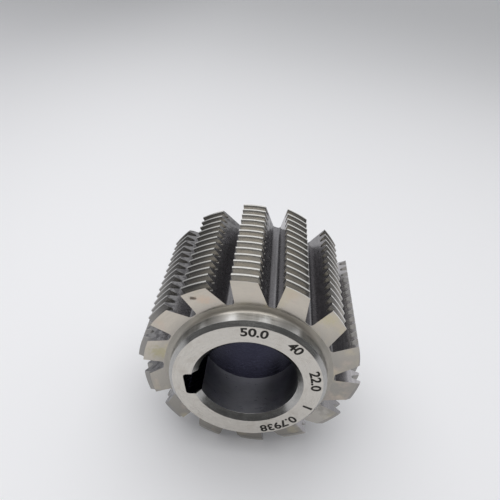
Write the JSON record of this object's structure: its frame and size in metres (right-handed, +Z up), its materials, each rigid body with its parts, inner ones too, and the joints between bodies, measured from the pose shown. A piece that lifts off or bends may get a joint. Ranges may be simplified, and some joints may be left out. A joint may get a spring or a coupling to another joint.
{
  "type": "gear hob",
  "caption": "Cylindrical gear-cutting hob with rows of relieved teeth between straight gashes, a plain hub at each end and a keyed bore for the machine's arbor.",
  "frame": {"origin": "centre of the bore at mid-length", "axes": "+Y along the bore from the front end to the back end, +Z up as the hob lies on its teeth"},
  "size_m": [0.05, 0.04, 0.049],
  "materials": {
    "tool_steel": "ground"
  },
  "bodies": {
    "root": {"hob": "tool_steel"}
  },
  "joints": []
}
